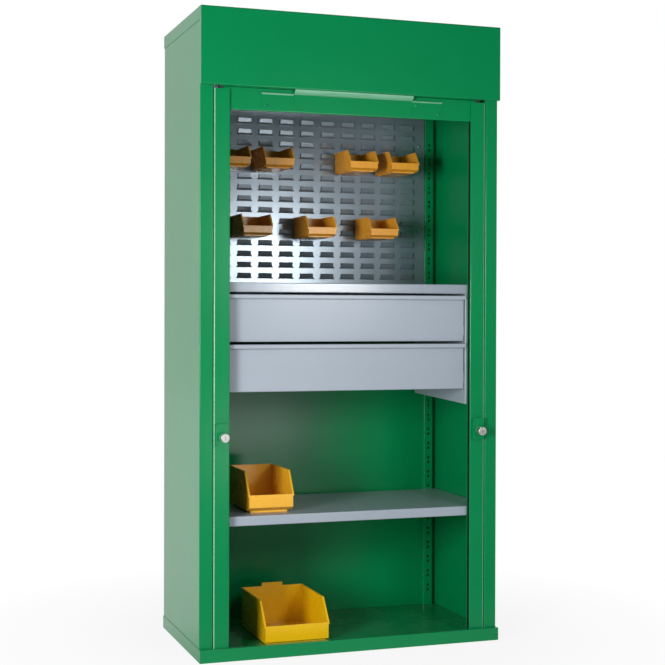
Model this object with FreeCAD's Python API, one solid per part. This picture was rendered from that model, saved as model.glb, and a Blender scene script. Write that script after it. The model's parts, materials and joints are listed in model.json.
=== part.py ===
"""Roll front tool cabinet: a sheet steel carcass with a roller shutter, louvre panel, shelves, drawers and bins.

Millimetres. The origin is the centre of the base underside, +Z is up and the open front faces -Y.
At rest the shutter is rolled up, the drawers are pushed home and the bins stand where they are used.
"""
import FreeCAD
import Part
import math
import os
from FreeCAD import Vector

# Overall size
cabinet_width = 1000.0
cabinet_depth = 525.0
cabinet_height = 2000.0
sheet = 1.5
bend_radius = 1.5

# Base pan
sill_height = 40.0
floor_height = 20.0
sill_lip = 8.0
foot_return = 25.0
bearer_width = 60.0

# Header and top
header_height = 238.0
header_projection = 17.0
fascia_top_return = 16.0
top_flange = 40.0
cover_gap = 4.0
cover_front_lip = 18.0

# Side panels, shutter guides and uprights
post_flange_width = 42.0
post_return = 15.0
rear_flange = 20.0
groove_width = 2.5
guide_width = 50.5
guide_depth = 26.0
guide_lip = 3.5
guide_mouth = 17.0
guide_top_gap = 8.0
liner_thickness = 1.5
liner_depth = 30.0
upright_width = 34.0
upright_depth = 18.0
upright_to_side = 16.0
upright_hole = 8.0
upright_hole_pair = 17.0
upright_hole_pitch = 51.0
upright_hole_start = 70.0

# Shutter
slat_thickness = 10.0
slat_pitch = 38.0
slat_crown = 2.5
slat_skin = 0.8
curtain_engagement = 34.0
rail_height = 70.0
rail_thickness = 12.0
rail_wall = 1.5
rail_engagement = 20.0
rail_seat_gap = 0.5
stop_gap = 0.3
shoe_length = 14.0
shoe_clearance = 0.3
grip_projection = 17.0
grip_height = 15.0
grip_wall = 2.0
latch_centre = 251.0
latch_width = 103.0
latch_height = 52.0
latch_bottom = 4.0
latch_lip = 6.0
rivet_radius = 3.0
rivet_head = 1.2
rivet_inset = 13.0

# Barrel and its spring
barrel_radius = 38.0
barrel_wall = 2.0
barrel_end_gap = 15.0
plug_length = 10.0
shaft_radius = 20.0
shaft_wall = 3.0
running_clearance = 0.05
spring_wire_radius = 2.5
spring_clearance = 0.3
spring_turns = 24
spring_pitch = 24.0
roll_clearance = 2.4
touch_gap = 0.3
bracket_half = 60.0
bracket_plate = 3.0
bracket_reach = 24.0
bracket_foot = 22.0
stud_radius = 4.0
nut_width = 13.0
nut_height = 6.5

# Shelves
louvre_space = 600.0
shelf_top = 436.5
shelf_lip = 30.5
shelf_hem = 12.0
shelf_front_gap = 2.0
shelf_side_gap = 3.0
shelf_notch_gap = 2.0
clip_reach = 22.0
clip_drop = 26.0
clip_length = 18.0

# Louvre panel
panel_side_gap = 1.5
panel_top_gap = 1.0
louvre_column_pitch = 75.0
louvre_row_pitch = 37.9
louvre_top_margin = 29.0
louvre_bottom_margin = 20.0
louvre_side_margin = 20.0
louvre_width = 44.0
louvre_height = 19.0
louvre_stand = 9.0
louvre_wall = 1.2
louvre_flare = 7.5
louvre_lean = 3.6
louvre_fold_share = 0.66
louvre_lip_thickening = 1.2
panel_rail_height = 40.0
panel_rail_drops = (400.0, 100.0)
panel_screw_inset = 21.5
panel_screw_radius = 3.0
panel_screw_head_radius = 5.5
panel_screw_head = 2.2

# Drawers and slides
drawer_front_half = 397.0
drawer_below_worktop = 37.0
drawer_pitch = 156.0
drawer_front_height = 148.0
drawer_sheet = 1.2
drawer_to_shutter = 2.0
drawer_lip_projection = 18.0
drawer_lip_height = 13.0
drawer_lip_overhang = 2.0
drawer_return = 45.0
drawer_bottom_return = 12.0
drawer_box_length = 400.0
drawer_box_clear_bottom = 6.0
drawer_box_clear_top = 22.0
slide_offset = 36.0
slide_height = 35.0
slide_width = 12.7
slide_wall = 1.2
slide_gap = 0.4
slide_length = 395.0
slide_notch_gap = 3.0
slide_setback = 4.0
carrier_front = 7.0
carrier_clearance = 4.5
carrier_flange = 12.0
carrier_length = 430.0
carrier_below_drawers = 50.0
carrier_rise = 14.0
carrier_top_flange = 20.0

# Push locks on the guides
lock_height = 687.0
lock_housing_width = 40.0
lock_housing_height = 70.0
lock_housing_depth = 14.0
lock_housing_rise = 6.0
lock_corner = 6.0
lock_collar_radius = 16.5
lock_collar_depth = 10.0
lock_button_radius = 13.5
lock_button_reach = 45.0
lock_travel = 8.5
lock_floor = 3.0
lock_pin_radius = 4.0
lock_slide_clearance = 0.1
lock_spring_wire_radius = 0.6
lock_spring_turns = 5
lock_spring_clearance = 0.3
keyway_width = 2.4
keyway_length = 9.0
keyway_depth = 4.0

# Hanging bins
small_bin_size = (104.0, 165.0, 73.0)
small_bin_wall = 2.2
small_bin_gap = 1.0
hook_width = 40.0
hook_drop = 8.0
hook_wall = 2.0
hook_gap = 0.6
hook_below_rim = 2.0
upper_bin_columns = (-4, -2, 2, 4)
lower_bin_columns = (-3, 0, 3)
upper_bin_row = 3
lower_bin_row = 9

# Larger bins
large_bin_wall = 2.6
shelf_bin_size = (150.0, 235.0, 130.0)
shelf_bin_place = (-250.0, 55.0)
floor_bin_size = (216.0, 284.0, 130.0)
floor_bin_place = (-162.0, 108.0)
bin_tab_width = 72.0
bin_tab_height = 12.0

# Shares of a bin's own size that give its shape
bin_low_wall_top = 0.45
bin_front_slope = 0.20
bin_rim_out = 3.0
bin_rim_height = 6.0
bin_line_width = 1.2
bin_line_depth = 0.6

# How a bin's front meets its foot, as shares of its size: wall bottom, foot height and setback
raised_foot = (0.14, 0.05, 0.10)
flat_foot = (0.06, 0.03, 0.03)

# Where the moulded lines run down a bin's front, as shares of its width
small_bin_lines = (-0.16, 0.16)
shelf_bin_lines = (-0.33,)
floor_bin_lines = (0.04,)

# Places worked out from the sizes above
half_width = cabinet_width / 2
front = -cabinet_depth / 2
back = cabinet_depth / 2
post_front = front + header_projection
side_outer = half_width - sheet
side_inner = side_outer - sheet
top_inside = cabinet_height - sheet
header_bottom = cabinet_height - header_height
guide_outer = side_outer - post_flange_width - groove_width
guide_inner = guide_outer - guide_width
guide_back = post_front + guide_depth
guide_top = header_bottom - guide_top_gap
mouth_front = post_front + guide_lip
mouth_back = mouth_front + guide_mouth
curtain_plane = (mouth_front + mouth_back) / 2
curtain_half = guide_inner + curtain_engagement
panel_back_face = back - sheet - sheet
back_inner = panel_back_face - sheet
cover_bottom = header_bottom + cover_gap
cover_top = cover_bottom + sheet
barrel_z = (cover_top + top_inside) / 2
upright_outer = side_inner - upright_to_side
upright_inner = upright_outer - upright_width
rear_upright_front = back_inner - upright_depth
front_upright_back = guide_back + upright_depth
shelf_front = guide_back + shelf_front_gap
panel_front = rear_upright_front - sheet
panel_half = upright_inner - panel_side_gap

# Worktop, louvre and drawer heights
worktop_top = header_bottom - louvre_space
panel_bottom = worktop_top + stop_gap
panel_top = cover_bottom - panel_top_gap
panel_rail_levels = [panel_top - drop for drop in panel_rail_drops]
louvre_first_top = panel_top - louvre_top_margin
louvre_last_space = louvre_first_top - louvre_height - panel_bottom - louvre_bottom_margin
louvre_rows = int(louvre_last_space / louvre_row_pitch) + 1
louvre_side_space = panel_half - louvre_side_margin - louvre_width / 2
louvre_columns = 2 * int(louvre_side_space / louvre_column_pitch) + 1
drawer_lower_bottom = worktop_top - drawer_below_worktop - drawer_front_height - drawer_pitch
carrier_bottom = drawer_lower_bottom - carrier_below_drawers

# Shutter places
rail_top = header_bottom - stop_gap
rail_bottom = rail_top - rail_height
rail_front = curtain_plane - rail_thickness / 2
rail_back = curtain_plane + rail_thickness / 2
rail_half = guide_inner + rail_engagement
shutter_travel = rail_bottom - floor_height - rail_seat_gap

# Drawer places
lip_front = rail_back + drawer_to_shutter
face_front = lip_front + drawer_lip_projection
carrier_inner = drawer_front_half + carrier_clearance
carrier_y = guide_back + carrier_front
box_half = carrier_inner - slide_width - slide_gap
box_front = face_front + drawer_sheet
slide_front = face_front + slide_setback


def block(x0, x1, y0, y1, z0, z1):
    """A box between two corners given as ranges."""
    return Part.makeBox(x1 - x0, y1 - y0, z1 - z0, Vector(x0, y0, z0))


def rod(radius, start, end):
    """A round bar from one point to another."""
    way = end - start
    return Part.makeCylinder(radius, way.Length, start, way)


def fused(pieces):
    """One solid from pieces that touch or overlap."""
    whole = pieces[0].fuse(pieces[1:])
    return whole.removeSplitter()


def mirrored(shape):
    """The same shape on the other side of the cabinet's centre plane."""
    return shape.mirror(Vector(0, 0, 0), Vector(1, 0, 0))


def group(pieces):
    """Separate solids kept in one node."""
    return Part.makeCompound(pieces)


def prism(points, along, start, end):
    """A closed outline pushed along one axis. Points are (y, z) for X, (x, z) for Y and (x, y) for Z."""
    place = {
        "X": lambda a, b: Vector(start, a, b),
        "Y": lambda a, b: Vector(a, start, b),
        "Z": lambda a, b: Vector(a, b, start),
    }[along]
    push = {"X": Vector(1, 0, 0), "Y": Vector(0, 1, 0), "Z": Vector(0, 0, 1)}[along]
    corners = [place(a, b) for a, b in points]
    face = Part.Face(Part.makePolygon(corners + corners[:1]))
    return face.extrude(push * (end - start))


def bend(corner, before, after, radius):
    """Where a bend of this radius starts, its middle and where it ends, at a corner between two directions."""
    turn = math.acos(max(-1.0, min(1.0, before[0] * after[0] + before[1] * after[1])))
    run = radius * math.tan(turn / 2)
    start = (corner[0] - before[0] * run, corner[1] - before[1] * run)
    end = (corner[0] + after[0] * run, corner[1] + after[1] * run)
    inward = (after[0] - before[0], after[1] - before[1])
    size = math.hypot(*inward)
    reach = radius / math.cos(turn / 2) - radius
    middle = (corner[0] + inward[0] / size * reach, corner[1] + inward[1] / size * reach)
    return start, middle, end


def folded(path, along, start, end, thickness=sheet, radius=bend_radius):
    """A folded sheet. The path runs along one face in the plane across the axis, with the sheet on its left."""
    steps = [(b[0] - a[0], b[1] - a[1]) for a, b in zip(path, path[1:])]
    ways = [(x / math.hypot(x, y), y / math.hypot(x, y)) for x, y in steps]
    lefts = [(-y, x) for x, y in ways]
    near = [(path[0],)]
    far = [((path[0][0] + lefts[0][0] * thickness, path[0][1] + lefts[0][1] * thickness),)]
    for i in range(1, len(path) - 1):
        before, after, n0, n1 = ways[i - 1], ways[i], lefts[i - 1], lefts[i]
        left_turn = before[0] * after[1] - before[1] * after[0] > 0
        share = thickness / (1 + n0[0] * n1[0] + n0[1] * n1[1])
        other = (path[i][0] + (n0[0] + n1[0]) * share, path[i][1] + (n0[1] + n1[1]) * share)
        near.append(bend(path[i], before, after, radius + thickness if left_turn else radius))
        far.append(bend(other, before, after, radius if left_turn else radius + thickness))
    near.append((path[-1],))
    far.append(((path[-1][0] + lefts[-1][0] * thickness, path[-1][1] + lefts[-1][1] * thickness),))
    outline = near + [corner[::-1] for corner in reversed(far)]
    place = {
        "X": lambda p: Vector(start, p[0], p[1]),
        "Y": lambda p: Vector(p[0], start, p[1]),
        "Z": lambda p: Vector(p[0], p[1], start),
    }[along]
    push = {"X": Vector(1, 0, 0), "Y": Vector(0, 1, 0), "Z": Vector(0, 0, 1)}[along]
    edges = []
    for corner, following in zip(outline, outline[1:] + outline[:1]):
        if len(corner) == 3:
            edges.append(Part.Arc(*[place(p) for p in corner]).toShape())
        edges.append(Part.makeLine(place(corner[-1]), place(following[0])))
    return Part.Face(Part.Wire(edges)).extrude(push * (end - start))


def rounded_block(x0, x1, y0, y1, z0, z1, radius, along):
    """A box whose four edges along one axis are rounded."""
    body = block(x0, x1, y0, y1, z0, z1)
    axis = {"X": Vector(1, 0, 0), "Y": Vector(0, 1, 0), "Z": Vector(0, 0, 1)}[along]
    edges = [e for e in body.Edges if abs(e.tangentAt(0).dot(axis)) > 0.99]
    return body.makeFillet(radius, edges)


def base_pan():
    """Four walls round a raised floor, a sill return at the front, foot returns and a centre bearer below."""
    inner = half_width - sheet
    outside = block(-half_width, half_width, front, back, 0, sill_height)
    walls = outside.cut(block(-inner, inner, front + sheet, back - sheet, -1, sill_height + 1))
    feet = block(-inner, inner, front + sheet, back - sheet, 0, sheet)
    inset = foot_return
    hole = block(-inner + inset, inner - inset, front + inset, back - inset, -1, sheet + 1)
    floor = block(-inner, inner, front + sheet, back - sheet, floor_height - sheet, floor_height)
    sill = folded(
        [(post_front, sill_height - sill_lip), (post_front, sill_height), (front + sheet, sill_height)],
        "X", -inner, inner,
    )
    half = bearer_width / 2
    bearer = folded(
        [(-half, floor_height - sheet), (-half, 0), (half, 0), (half, floor_height - sheet)],
        "X", -inner, inner,
    )
    return fused([walls, feet.cut(hole), floor, sill, bearer])


def top_pan():
    """The flat top with a flange turned down at the sides and back. The front stays open for the fascia."""
    plate = block(-half_width, half_width, front + sheet, back, top_inside, cabinet_height)
    rim = block(-half_width, half_width, post_front, back, cabinet_height - top_flange, cabinet_height)
    room = block(-side_outer, side_outer, post_front - 1, back - sheet, 0, top_inside)
    return fused([plate, rim.cut(room)])


def header_fascia():
    """The tall front sheet with a top return under the top pan, side returns and a bottom return."""
    path = [
        (front + fascia_top_return, top_inside),
        (front, top_inside),
        (front, header_bottom),
        (post_front, header_bottom),
    ]
    face = folded(path, "X", -half_width, half_width)
    cheek = block(side_outer, half_width, front + sheet, post_front, header_bottom + sheet, top_inside - sheet)
    return fused([face, cheek, mirrored(cheek)])


def roll_cover():
    """The ceiling sheet between the shutter roll and the storage space, with a lip at its front edge."""
    path = [
        (back_inner, cover_bottom),
        (rail_back + cover_gap, cover_bottom),
        (rail_back + cover_gap, cover_top + cover_front_lip),
    ]
    return folded(path[::-1], "X", -side_inner, side_inner)


def side_panel():
    """The right side sheet: its front flange is the outer part of the post, and its rear flange holds the back."""
    path = [
        (side_outer - post_flange_width, post_front + post_return),
        (side_outer - post_flange_width, post_front),
        (side_outer, post_front),
        (side_outer, back - sheet),
        (side_outer - rear_flange, back - sheet),
    ]
    return folded(path, "Z", floor_height, top_inside)


def back_panel():
    """The back sheet, seated on the rear flanges of the side panels."""
    edge = side_inner - bend_radius
    return block(-edge, edge, back_inner, panel_back_face, floor_height, top_inside)


def guide():
    """The right shutter guide: a lipped channel whose mouth faces the opening, with a hole for the lock pin."""
    path = [
        (guide_inner, mouth_front),
        (guide_inner, post_front),
        (guide_outer, post_front),
        (guide_outer, guide_back),
        (guide_inner, guide_back),
        (guide_inner, mouth_back),
    ]
    channel = folded(path, "Z", floor_height, guide_top)
    middle = lock_axis()
    hole = rod(
        lock_pin_radius + lock_slide_clearance,
        Vector(middle, post_front - 1, lock_height),
        Vector(middle, post_front + sheet + 1, lock_height),
    )
    return channel.cut(hole)


def guide_liner():
    """The nylon liner clipped in the right guide's mouth: two strips joined by a web behind the curtain edge."""
    web = curtain_half + liner_thickness
    front_strip = block(
        guide_inner + sheet, web, mouth_front, mouth_front + liner_thickness, floor_height, guide_top,
    )
    back_strip = block(
        guide_inner + sheet, web, mouth_back - liner_thickness, mouth_back, floor_height, guide_top,
    )
    web_strip = block(web, web + liner_thickness, mouth_front, mouth_back, floor_height, guide_top)
    carrier = block(web, guide_outer - sheet, mouth_back - liner_thickness, mouth_back, floor_height, guide_top)
    whole = fused([front_strip, back_strip, web_strip, carrier])
    middle = lock_axis()
    hole = rod(
        lock_pin_radius + lock_slide_clearance,
        Vector(middle, mouth_front - 1, lock_height),
        Vector(middle, mouth_front + liner_thickness + 1, lock_height),
    )
    return whole.cut(hole)


def upright_holes(y0, y1):
    """Square holes in pairs up the right upright."""
    middle = (upright_inner + upright_outer) / 2
    x0, x1 = middle - upright_hole / 2, middle + upright_hole / 2
    count = int((header_bottom - 2 * upright_hole_start) // upright_hole_pitch) + 1
    holes = []
    for level in range(count):
        for step in (0, 1):
            z = upright_hole_start + level * upright_hole_pitch + step * upright_hole_pair
            holes.append(block(x0, x1, y0, y1, z, z + upright_hole))
    return holes


def rear_upright():
    """The right rear upright: a channel on the back sheet whose web shows its square holes to the front."""
    path = [
        (upright_inner, back_inner),
        (upright_inner, rear_upright_front),
        (upright_outer, rear_upright_front),
        (upright_outer, back_inner),
    ]
    channel = folded(path, "Z", floor_height, cover_bottom)
    return channel.cut(upright_holes(rear_upright_front - 1, rear_upright_front + sheet + 1))


def front_upright():
    """The right front upright: the same channel turned round, on the back of the shutter guide."""
    path = [
        (upright_outer, guide_back),
        (upright_outer, front_upright_back),
        (upright_inner, front_upright_back),
        (upright_inner, guide_back),
    ]
    channel = folded(path, "Z", floor_height, guide_top)
    return channel.cut(upright_holes(front_upright_back - sheet - 1, front_upright_back + 1))


def shelf(top):
    """A tray shelf with hemmed front and rear lips, side lips, and corners notched round the uprights."""
    bottom = top - shelf_lip
    rear = rear_upright_front - shelf_notch_gap
    middle = upright_inner - shelf_notch_gap
    path = [
        (shelf_front + shelf_hem, bottom),
        (shelf_front, bottom),
        (shelf_front, top),
        (rear, top),
        (rear, bottom),
        (rear - shelf_hem, bottom),
    ]
    tray = folded([(y, z) for y, z in path[::-1]], "X", -middle, middle)
    side_start = front_upright_back + shelf_notch_gap
    side_end = rear
    edge = side_inner - shelf_side_gap
    wing = folded([(edge, bottom), (edge, top), (middle - sheet, top)], "Y", side_start, side_end)
    return fused([tray, wing, mirrored(wing)])


def shelf_clip(top, at_front):
    """A shelf clip on the right upright's inner side: a ledge under the shelf's lip and a leg down the upright."""
    level = top - shelf_lip
    rear = rear_upright_front - shelf_notch_gap
    start, end = (shelf_front, shelf_front + clip_length) if at_front else (rear - clip_length, back_inner - sheet)
    ledge = block(upright_inner - clip_reach, upright_inner, start, end, level - sheet, level)
    leg = block(upright_inner - sheet, upright_inner, start, end, level - clip_drop, level - sheet)
    return fused([ledge, leg])


def shelf_clips():
    """Eight clips, four under each shelf."""
    clips = []
    for top in (worktop_top, shelf_top):
        for at_front in (True, False):
            clip = shelf_clip(top, at_front)
            clips += [clip, mirrored(clip)]
    return group(clips)


def louvre_frame(half, front, level):
    """The rectangle between a louvre's front and the panel's face, for a loft."""
    corners = [
        Vector(-half, front, level), Vector(half, front, level),
        Vector(half, panel_front, level), Vector(-half, panel_front, level),
    ]
    return Part.makePolygon(corners + corners[:1])


def louvre():
    """One louvre at the panel's centre with its top at z = 0: a hood open at its top, on a slit."""
    half = louvre_width / 2
    face = panel_front
    front = face - louvre_stand
    bent = front + louvre_lean
    wall = louvre_wall
    fold = louvre_height * louvre_fold_share
    upper = Part.makeLoft([
        louvre_frame(half, front, 0),
        louvre_frame(half + wall, bent, -fold),
    ], True, True)
    lower = Part.makeLoft([
        louvre_frame(half + wall, bent, -fold),
        louvre_frame(half + louvre_flare, face - wall, -louvre_height),
    ], True, True)
    slope = (louvre_stand - louvre_lean - wall) / (louvre_height - fold)
    depth = louvre_height - 2 * wall
    lip = wall * louvre_lip_thickening
    room = prism(
        [(front + lip, 1), (face + 1, 1), (face + 1, -depth), (bent + lip + slope * (depth - fold), -depth),
         (bent + lip, -fold), (front + lip, 0)],
        "X", -half + wall, half - wall,
    )
    slit = block(-half + wall, half - wall, face - 1, face + sheet + 1, -depth, -wall)
    return upper.fuse(lower).removeSplitter().cut(room), slit


def louvre_places():
    """The centre column and top of each louvre."""
    first = -(louvre_columns - 1) / 2
    for column in range(louvre_columns):
        for row in range(louvre_rows):
            yield (first + column) * louvre_column_pitch, louvre_first_top - row * louvre_row_pitch


def louvre_panel():
    """The louvred sheet with side returns that reach the back sheet."""
    path = [
        (-panel_half, back_inner),
        (-panel_half, panel_front),
        (panel_half, panel_front),
        (panel_half, back_inner),
    ]
    sheet_body = folded(path, "Z", panel_bottom, panel_top)
    hood, slit = louvre()
    places = [Vector(x, 0, z) for x, z in louvre_places()]
    slits = [slit.translated(place) for place in places]
    hoods = [hood.translated(place) for place in places]
    holes = [
        rod(panel_screw_radius, Vector(x, panel_front - 1, z), Vector(x, panel_front + sheet + 1, z))
        for x, z in panel_screw_places()
    ]
    return fused([sheet_body.cut(slits + holes)] + hoods)


def panel_screw_places():
    """The four screws near the panel's side edges, at the two rails."""
    x = panel_half - panel_screw_inset
    return [(side * x, level) for side in (-1, 1) for level in panel_rail_levels]


def panel_rails():
    """Two hat rails between the back sheet and the louvre panel."""
    half = panel_rail_height / 2
    inner = panel_front + sheet
    rails = []
    for level in panel_rail_levels:
        path = [
            (back_inner, level - half),
            (inner, level - half),
            (inner, level + half),
            (back_inner, level + half),
        ]
        reach = panel_half - sheet - bend_radius - touch_gap
        rail = folded(path[::-1], "X", -reach, reach)
        holes = [
            rod(panel_screw_radius, Vector(x, inner - 1, z), Vector(x, inner + sheet + 1, z))
            for x, z in panel_screw_places() if z == level
        ]
        rails.append(rail.cut(holes))
    return group(rails)


def panel_screws():
    """Pan head screws through the panel into its rails."""
    screws = []
    for x, z in panel_screw_places():
        shank_end = panel_front + sheet + sheet + panel_screw_radius
        shank = rod(panel_screw_radius, Vector(x, panel_front, z), Vector(x, shank_end, z))
        head = rod(panel_screw_head_radius, Vector(x, panel_front, z), Vector(x, panel_front - panel_screw_head, z))
        rim = [e for e in head.Edges if e.Closed and abs(e.CenterOfMass.y - panel_front + panel_screw_head) < 0.1]
        head = head.makeFillet(panel_screw_head * 0.6, rim)
        screws.append(fused([shank, head]))
    return group(screws)


def drawer_bottom(level):
    """The underside of the lower (0) or upper (1) drawer front."""
    return drawer_lower_bottom + level * drawer_pitch


def slide_z(level):
    """The middle of a drawer's slides."""
    return drawer_bottom(level) + slide_offset


def drawer_front(level):
    """A folded drawer front with side returns notched for the slides, and a finger lip along its top."""
    bottom = drawer_bottom(level)
    top = bottom + drawer_front_height
    t = drawer_sheet
    half = drawer_front_half
    face = folded(
        [(face_front + drawer_bottom_return, bottom), (face_front, bottom), (face_front, top - t)][::-1],
        "X", -half, half, t, t,
    )
    rear = face_front + drawer_return
    side = block(half - t, half, face_front, rear, bottom + t, top - drawer_lip_height)
    z = slide_z(level)
    gap = slide_height / 2 + slide_notch_gap
    side = side.cut(block(half - t - 1, half + 1, box_front, rear + 1, z - gap, z + gap))
    lip_half = half + drawer_lip_overhang
    lip = folded(
        [
            (face_front + drawer_bottom_return, top),
            (lip_front, top),
            (lip_front, top - drawer_lip_height),
            (lip_front + drawer_lip_height / 2, top - drawer_lip_height),
        ],
        "X", -lip_half, lip_half, t, t,
    )
    return fused([face, side, mirrored(side), lip])


def drawer_box(level):
    """The drawer's open tray behind its front."""
    t = drawer_sheet
    bottom = drawer_bottom(level) + drawer_box_clear_bottom
    top = drawer_bottom(level) + drawer_front_height - drawer_box_clear_top
    rear = box_front + drawer_box_length
    outer = block(-box_half, box_half, box_front, rear, bottom, top)
    return outer.cut(block(-box_half + t, box_half - t, box_front + t, rear - t, bottom + t, top + 1))


def slide_channel(web_x, lip_x, half_height, z, y0, y1):
    """One slide member on the right: a channel with its web at web_x and its flanges reaching lip_x."""
    left, right = min(web_x, lip_x), max(web_x, lip_x)
    outer = block(left, right, y0, y1, z - half_height, z + half_height)
    inside = half_height - slide_wall
    if web_x > lip_x:
        room = block(left - 1, right - slide_wall, y0 - 1, y1 + 1, z - inside, z + inside)
    else:
        room = block(left + slide_wall, right + 1, y0 - 1, y1 + 1, z - inside, z + inside)
    return outer.cut(room)


def slide_member(level, member):
    """The outer, middle or inner members of a drawer's two slides."""
    z = slide_z(level)
    outer_half = slide_height / 2
    step = slide_wall + slide_gap
    y0, y1 = slide_front, slide_front + slide_length
    reach = slide_width - slide_wall - 2 * slide_gap
    sections = {
        "outer": (carrier_inner, carrier_inner - reach + step, outer_half),
        "middle": (carrier_inner - slide_wall - slide_gap, carrier_inner - reach, outer_half - step),
        "inner": (box_half, carrier_inner - 2 * step, outer_half - 2 * step),
    }
    web, lip, half = sections[member]
    channel = slide_channel(web, lip, half, z, y0, y1)
    return [channel, mirrored(channel)]


def drawer_carrier():
    """The right grey side plate that hangs under the worktop and carries both drawers' slides."""
    top = worktop_top - sheet
    y0, y1 = carrier_y, carrier_y + carrier_length
    plate = folded(
        [(carrier_inner, y1), (carrier_inner, y0), (carrier_inner + carrier_flange, y0)],
        "Z", carrier_bottom, top,
    )
    shelf_flange = block(
        carrier_inner, carrier_inner + carrier_top_flange, y0 + sheet + bend_radius, y1, top - sheet, top,
    )
    wedge = prism(
        [(y0, carrier_bottom), (y1 + 1, carrier_bottom - 1), (y1 + 1, carrier_bottom + carrier_rise)],
        "X", carrier_inner - 1, carrier_inner + carrier_flange + 1,
    )
    hem_end = shelf_front + shelf_hem + shelf_notch_gap
    hem = block(
        carrier_inner - 1, carrier_inner + carrier_top_flange + 1, shelf_front, hem_end,
        worktop_top - shelf_lip - touch_gap, top + 1,
    )
    return fused([plate, shelf_flange]).cut([wedge, hem])


def lock_axis():
    """How far the right lock stands from the centre plane: the middle of its guide."""
    return (guide_inner + guide_outer) / 2


def lock_faces():
    """Where the housing's front, the collar's front and the button's face lie."""
    face = post_front - lock_housing_depth
    collar = face - lock_collar_depth
    return face, collar, post_front - lock_button_reach


def lock_housing():
    """The right lock's painted housing on the guide, with a collar round the button."""
    x = lock_axis()
    face, collar, _ = lock_faces()
    z = lock_height + lock_housing_rise
    half_w, half_h = lock_housing_width / 2, lock_housing_height / 2
    box = rounded_block(x - half_w, x + half_w, face, post_front, z - half_h, z + half_h, lock_corner, "Y")
    ring = rod(lock_collar_radius, Vector(x, post_front, lock_height), Vector(x, collar, lock_height))
    floor = post_front - lock_floor
    bore = rod(
        lock_button_radius + lock_slide_clearance,
        Vector(x, floor, lock_height), Vector(x, collar - 1, lock_height),
    )
    pin_bore = rod(
        lock_pin_radius + lock_slide_clearance,
        Vector(x, post_front + 1, lock_height), Vector(x, floor - 1, lock_height),
    )
    return fused([box, ring]).cut([bore, pin_bore])


def lock_button():
    """The right lock's round plunger with a keyway in its face and the pin that enters the guide."""
    x = lock_axis()
    _, _, face = lock_faces()
    rear = button_rear()
    body = rod(lock_button_radius, Vector(x, rear, lock_height), Vector(x, face, lock_height))
    rim = [e for e in body.Edges if e.Closed and abs(e.CenterOfMass.y - face) < 0.1]
    body = body.makeFillet(1.0, rim)
    half = keyway_width / 2
    slot = block(x - half, x + half, face - 1, face + keyway_depth,
                 lock_height - keyway_length / 2, lock_height + keyway_length / 2)
    pin = rod(lock_pin_radius, Vector(x, rear, lock_height), Vector(x, post_front - lock_floor, lock_height))
    return fused([body, pin]).cut(slot)


def button_rear():
    """The rear of the plunger's wide part at rest: its travel clear of the spring when that is closed."""
    closed_spring = 2 * lock_spring_wire_radius * (lock_spring_turns + 2)
    return post_front - lock_floor - closed_spring - lock_travel


def coil(radius, wire_radius, pitch, turns, start, along):
    """An open coil: a wire swept along a helix on an axis through a point."""
    helix = Part.makeHelix(pitch, pitch * turns, radius)
    circle = Part.Wire(Part.makeCircle(wire_radius, Vector(radius, 0, 0), Vector(0, 1, 0)))
    body = Part.Wire(helix).makePipeShell([circle], True, True)
    turn = FreeCAD.Rotation(Vector(0, 0, 1), along)
    body.Placement = FreeCAD.Placement(start, turn)
    return body


def lock_spring():
    """The right lock's return spring round the pin."""
    x = lock_axis()
    floor = post_front - lock_floor
    wire = lock_spring_wire_radius
    radius = lock_pin_radius + lock_spring_clearance + wire
    room = floor - button_rear() - 2 * (wire + lock_spring_clearance)
    start = Vector(x, floor - wire - lock_spring_clearance, lock_height)
    return coil(radius, wire, room / lock_spring_turns, lock_spring_turns, start, Vector(0, -1, 0))


def bottom_rail():
    """The hollow rail along the shutter's lower edge, its ends inside the guides."""
    radius = rail_wall * 2
    outer = rounded_block(-rail_half, rail_half, rail_front, rail_back, rail_bottom, rail_top, radius, "X")
    wall = rail_wall
    room = rounded_block(
        -rail_half - 1, rail_half + 1, rail_front + wall, rail_back - wall,
        rail_bottom + wall, rail_top - wall, radius - wall / 2, "X",
    )
    return outer.cut(room)


def rail_grip():
    """The curved finger lip along the top of the rail, between the latch plates."""
    half = latch_centre - latch_width / 2 - 1
    outer_r = grip_projection
    top = rail_top
    centre = (rail_front, top)
    squash = grip_height / grip_projection
    corners = []
    steps = 12
    for i in range(steps + 1):
        angle = math.pi + math.pi / 2 * i / steps
        corners.append((centre[0] + outer_r * math.cos(angle), centre[1] + outer_r * squash * math.sin(angle)))
    inner_r = grip_projection - grip_wall
    for i in range(steps, -1, -1):
        angle = math.pi + math.pi / 2 * i / steps
        corners.append((centre[0] + inner_r * math.cos(angle),
                        centre[1] + (outer_r * squash - grip_wall) * math.sin(angle)))
    return prism(corners, "X", -half, half)


def latch_plate():
    """The right latch plate: a flat plate on the rail with a short lip turned forward at its top."""
    half = latch_width / 2
    bottom = rail_bottom + latch_bottom
    top = bottom + latch_height
    plate = folded(
        [(rail_front, bottom), (rail_front, top), (rail_front - latch_lip, top)],
        "X", latch_centre - half, latch_centre + half,
    )
    holes = [rod(rivet_radius, Vector(x, rail_front + 1, z), Vector(x, rail_front - sheet - 1, z))
             for x, z in rivet_places()]
    return plate.cut(holes)


def rivet_places():
    """Two rivets on a diagonal of the right latch plate."""
    half = latch_width / 2 - rivet_inset
    bottom = rail_bottom + latch_bottom
    return [
        (latch_centre - half, bottom + latch_height - rivet_inset),
        (latch_centre + half, bottom + rivet_inset),
    ]


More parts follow.
